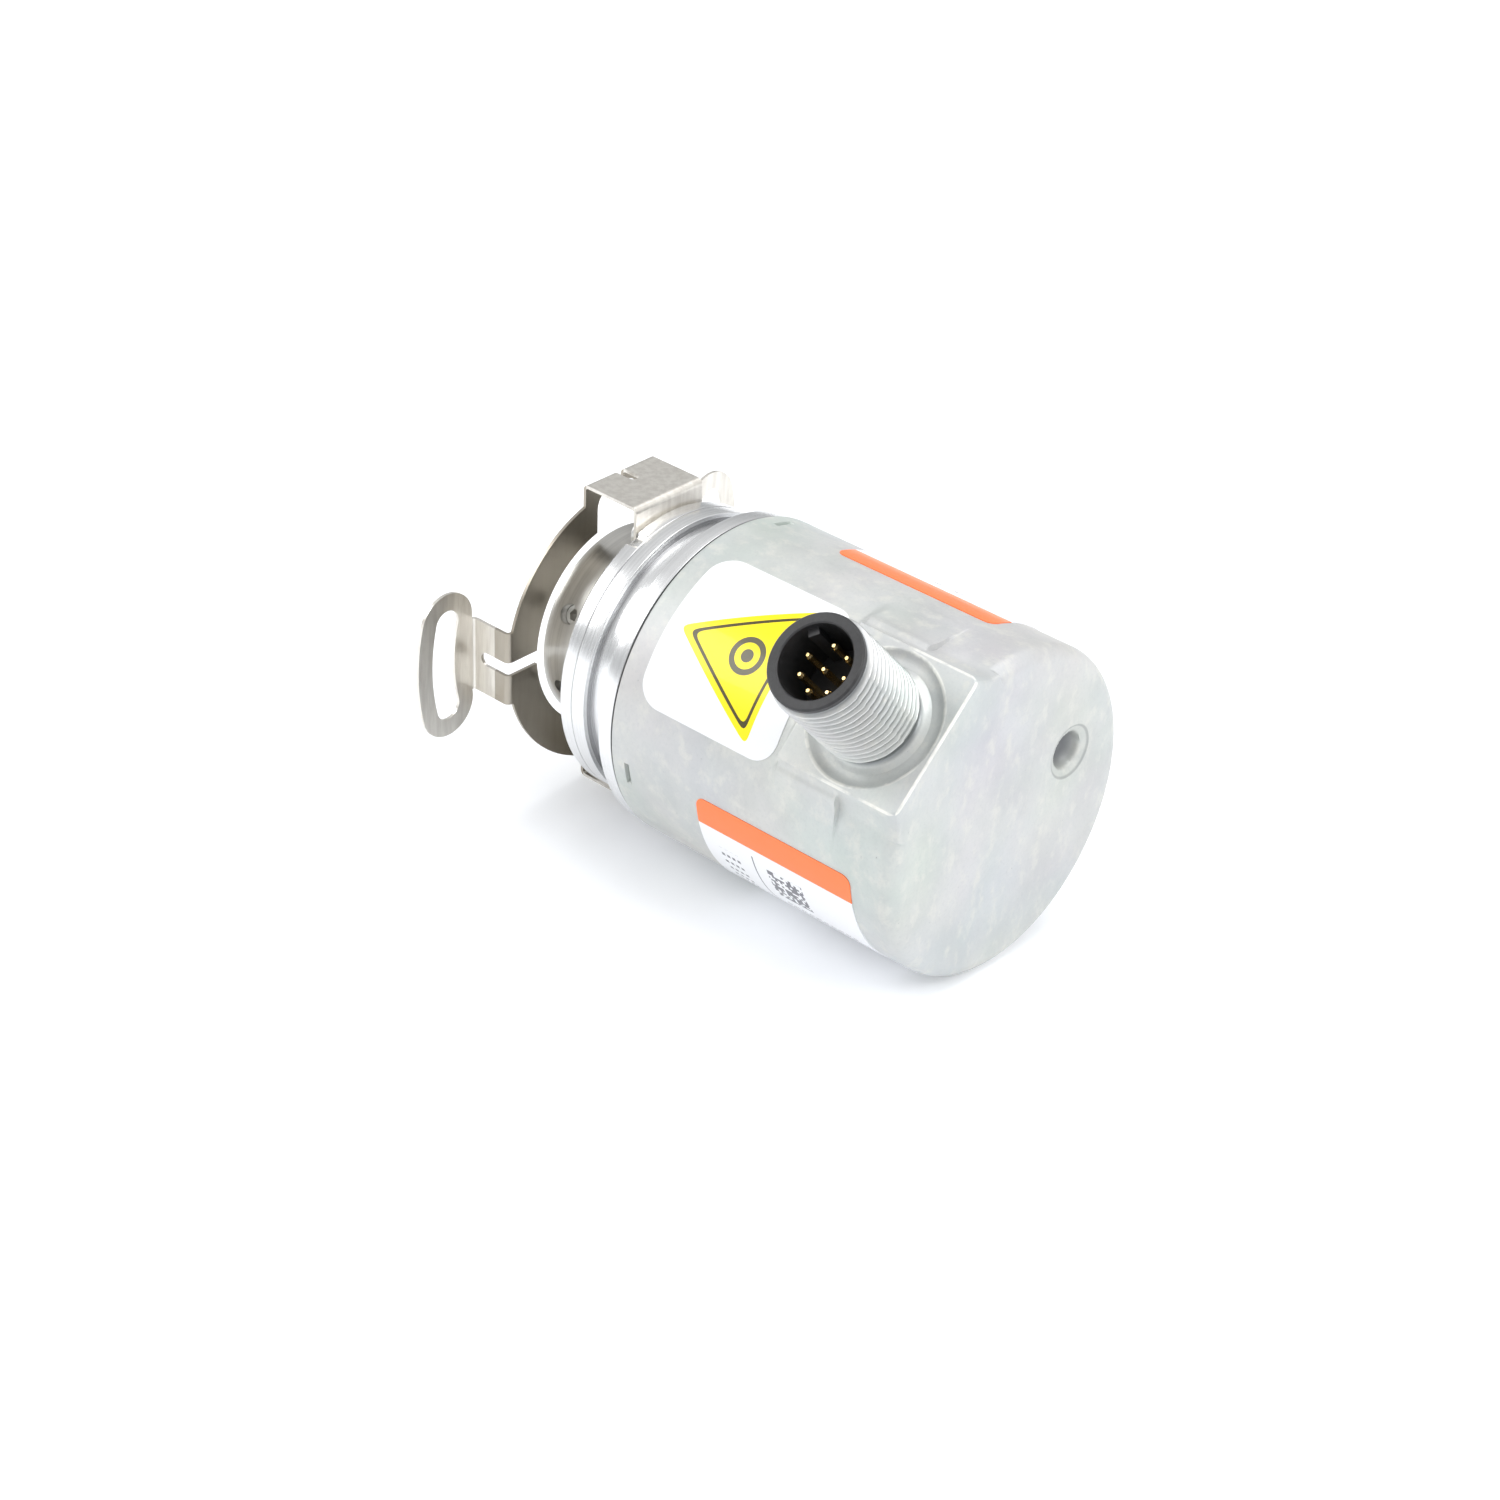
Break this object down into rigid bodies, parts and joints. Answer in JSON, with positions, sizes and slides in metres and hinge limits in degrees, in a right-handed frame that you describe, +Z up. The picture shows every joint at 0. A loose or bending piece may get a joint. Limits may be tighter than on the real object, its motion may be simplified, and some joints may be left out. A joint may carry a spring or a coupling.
{
  "type": "rotary encoder",
  "caption": "Rotary encoder with a blind hollow shaft, a slotted spring stator coupling, a round cast cap and a radial threaded pin connector.",
  "frame": {"origin": "centre of the hollow shaft's mouth, on the shaft axis", "axes": "+X runs along the shaft towards the closed end, +Z is up, the coupling's two slotted ears lie within three degrees of Y, and the connector leans half-way between -Y and +Z"},
  "size_m": [0.067, 0.0557, 0.049],
  "materials": {
    "cast_zinc": "die-cast, mottled",
    "machined_aluminium": "fine turned",
    "spring_steel": "brushed sheet",
    "screw_steel": "bright zinc plated",
    "shaft_steel": "ground",
    "dark_steel": "turned, dark",
    "bearing_steel": "polished",
    "cage_brass": "turned",
    "seal_rubber": "matte",
    "disc_glass": "clear",
    "black_plastic": "moulded",
    "light_plastic": "moulded",
    "board_green": "solder mask",
    "can_aluminium": "drawn",
    "ribbon_grey": "ribbed",
    "pin_gold": "gold plated",
    "label_yellow": "printed film",
    "label_orange": "printed film"
  },
  "bodies": {
    "housing": {"housing_cap": "cast_zinc", "connector_stud": "cast_zinc", "flange": "machined_aluminium", "stator_coupling": "spring_steel", "coupling_screws": "screw_steel", "board_screws": "screw_steel", "outer_spacer": "shaft_steel", "retaining_ring": "dark_steel", "preload_spring": "dark_steel", "front_bearing_outer": "bearing_steel", "rear_bearing_outer": "bearing_steel", "bearing_shields": "bearing_steel", "board_standoffs": "cage_brass", "board_spacers": "cage_brass", "shaft_seal": "seal_rubber", "cap_seal": "seal_rubber", "insert_seal": "seal_rubber", "connector_insert": "black_plastic", "board_link": "black_plastic", "sensor_chip": "black_plastic", "logic_chips": "black_plastic", "lamp_holder": "black_plastic", "lamp": "light_plastic", "ribbon_socket": "light_plastic", "sensor_board": "board_green", "interface_board": "board_green", "tail_board": "board_green", "capacitors": "can_aluminium", "inner_ribbon": "ribbon_grey", "connector_pins": "pin_gold", "warning_label": "label_yellow", "lower_label": "label_orange", "upper_label": "label_orange"},
    "rotor": {"hollow_shaft": "shaft_steel", "clamp_ring": "dark_steel", "clamp_screws": "dark_steel", "front_bearing_inner": "bearing_steel", "rear_bearing_inner": "bearing_steel", "inner_spacer": "shaft_steel", "disc_hub": "cage_brass", "code_disc": "disc_glass", "disc_nut": "screw_steel"},
    "front_cage": {"front_bearing_cage": "cage_brass", "front_bearing_balls": "bearing_steel"},
    "rear_cage": {"rear_bearing_cage": "cage_brass", "rear_bearing_balls": "bearing_steel"}
  },
  "joints": [
    {"name": "rotor_spin", "type": "hinge", "parent": "housing", "child": "rotor", "pos_m": [0, 0, 0], "axis": [1, 0, 0], "continuous": true},
    {"name": "front_cage_spin", "type": "hinge", "parent": "housing", "child": "front_cage", "pos_m": [0.0142, 0, 0], "axis": [1, 0, 0], "continuous": true},
    {"name": "rear_cage_spin", "type": "hinge", "parent": "housing", "child": "rear_cage", "pos_m": [0.0223, 0, 0], "axis": [1, 0, 0], "continuous": true}
  ],
  "couplings": [
    {"joint": "front_cage_spin", "follows": "rotor_spin", "ratio": 0.4333},
    {"joint": "rear_cage_spin", "follows": "rotor_spin", "ratio": 0.4333}
  ]
}
